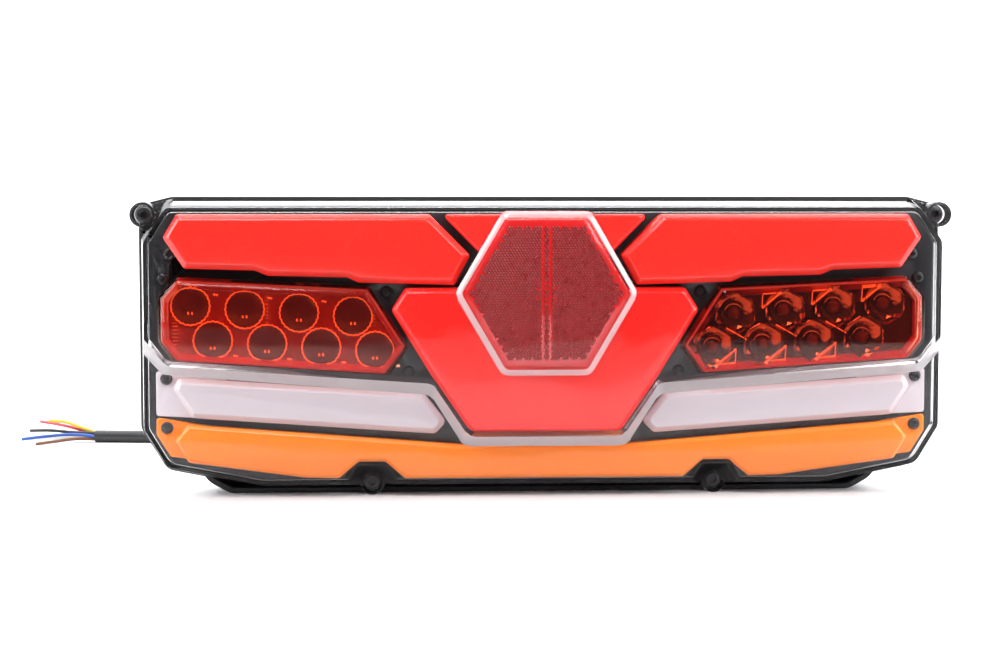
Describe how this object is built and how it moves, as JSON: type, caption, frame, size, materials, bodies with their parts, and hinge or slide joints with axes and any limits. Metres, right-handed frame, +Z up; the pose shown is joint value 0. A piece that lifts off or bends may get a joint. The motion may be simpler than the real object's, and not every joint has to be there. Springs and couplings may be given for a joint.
{
  "type": "trailer tail light",
  "caption": "Rear combination lamp for a trailer, with tail, stop, reverse and turn indicator lights and a reflex reflector behind one clear lens, on a black housing with a cable.",
  "frame": {"origin": "middle of the lamp's box at the bottom, without the cable", "axes": "+X along the lamp, +Z up, the lens faces -Y and the studs point to +Y"},
  "size_m": [0.4864, 0.2522, 0.142],
  "materials": {
    "housing_black": "moulded, fine grain",
    "carrier_black": "satin",
    "gasket_rubber": "matte",
    "clear_lens": "polished clear plastic",
    "black_screw": "black zinc",
    "opal_red": "opal, glossy",
    "stop_red": "opal, glossy",
    "reflex_red": "prismatic",
    "backing_red": "matte",
    "cover_red": "clear red",
    "optics_clear": "clear, ribbed",
    "cup_metal": "vacuum metallised",
    "board_green": "solder mask",
    "led_yellow": "phosphor gel",
    "opal_white": "opal, glossy",
    "opal_amber": "opal, glossy",
    "zinc_screw": "zinc plated",
    "part_grey": "ferrite",
    "can_metal": "satin",
    "connector_white": "natural nylon",
    "inner_wire": "satin",
    "gland_black": "moulded nylon",
    "seal_rubber": "matte",
    "vent_grey": "moulded",
    "stud_zinc": "zinc plated thread",
    "cable_sheath": "soft satin",
    "tie_black": "nylon",
    "core_red": "satin",
    "core_yellow": "satin",
    "core_blue": "satin",
    "core_black": "satin",
    "core_brown": "satin",
    "core_white": "satin",
    "tinned_copper": "tinned strands"
  },
  "bodies": {
    "root": {"housing": "housing_black", "lens_gasket": "gasket_rubber", "outer_lens": "clear_lens", "lens_screws": "black_screw", "carrier": "carrier_black", "tail_diffuser_left": "opal_red", "tail_diffuser_right": "opal_red", "centre_top_diffuser": "opal_red", "stop_diffuser": "stop_red", "reflex_reflector": "reflex_red", "reflector_backing": "backing_red", "led_cover_left": "cover_red", "led_cover_right": "cover_red", "led_optics_left": "optics_clear", "led_cups_right": "cup_metal", "led_board_left": "board_green", "led_board_right": "board_green", "led_chips_left": "led_yellow", "led_chips_right": "led_yellow", "tail_board_left": "board_green", "tail_board_right": "board_green", "tail_leds": "led_yellow", "stop_board": "board_green", "stop_leds": "led_yellow", "reverse_diffuser_left": "opal_white", "reverse_diffuser_right": "opal_white", "reverse_board_left": "board_green", "reverse_board_right": "board_green", "reverse_leds": "led_yellow", "indicator_diffuser": "opal_amber", "indicator_board": "board_green", "indicator_leds": "led_yellow", "carrier_screws": "black_screw", "module_screws": "black_screw", "control_board": "board_green", "board_screws": "zinc_screw", "board_coils": "part_grey", "board_capacitors": "can_metal", "board_header": "connector_white", "header_plug": "connector_white", "inner_leads": "inner_wire", "gland_locknut": "gland_black", "cable_gland": "gland_black", "gland_nut": "gland_black", "gland_seal": "seal_rubber", "vent_plug": "vent_grey", "mounting_studs": "stud_zinc", "cable_lead": "cable_sheath", "cable_coil": "cable_sheath", "cable_tail": "cable_sheath", "cable_tie": "tie_black", "core_red": "core_red", "core_yellow": "core_yellow", "core_blue": "core_blue", "core_black": "core_black", "core_brown": "core_brown", "core_white": "core_white", "core_tips": "tinned_copper"}
  },
  "joints": []
}
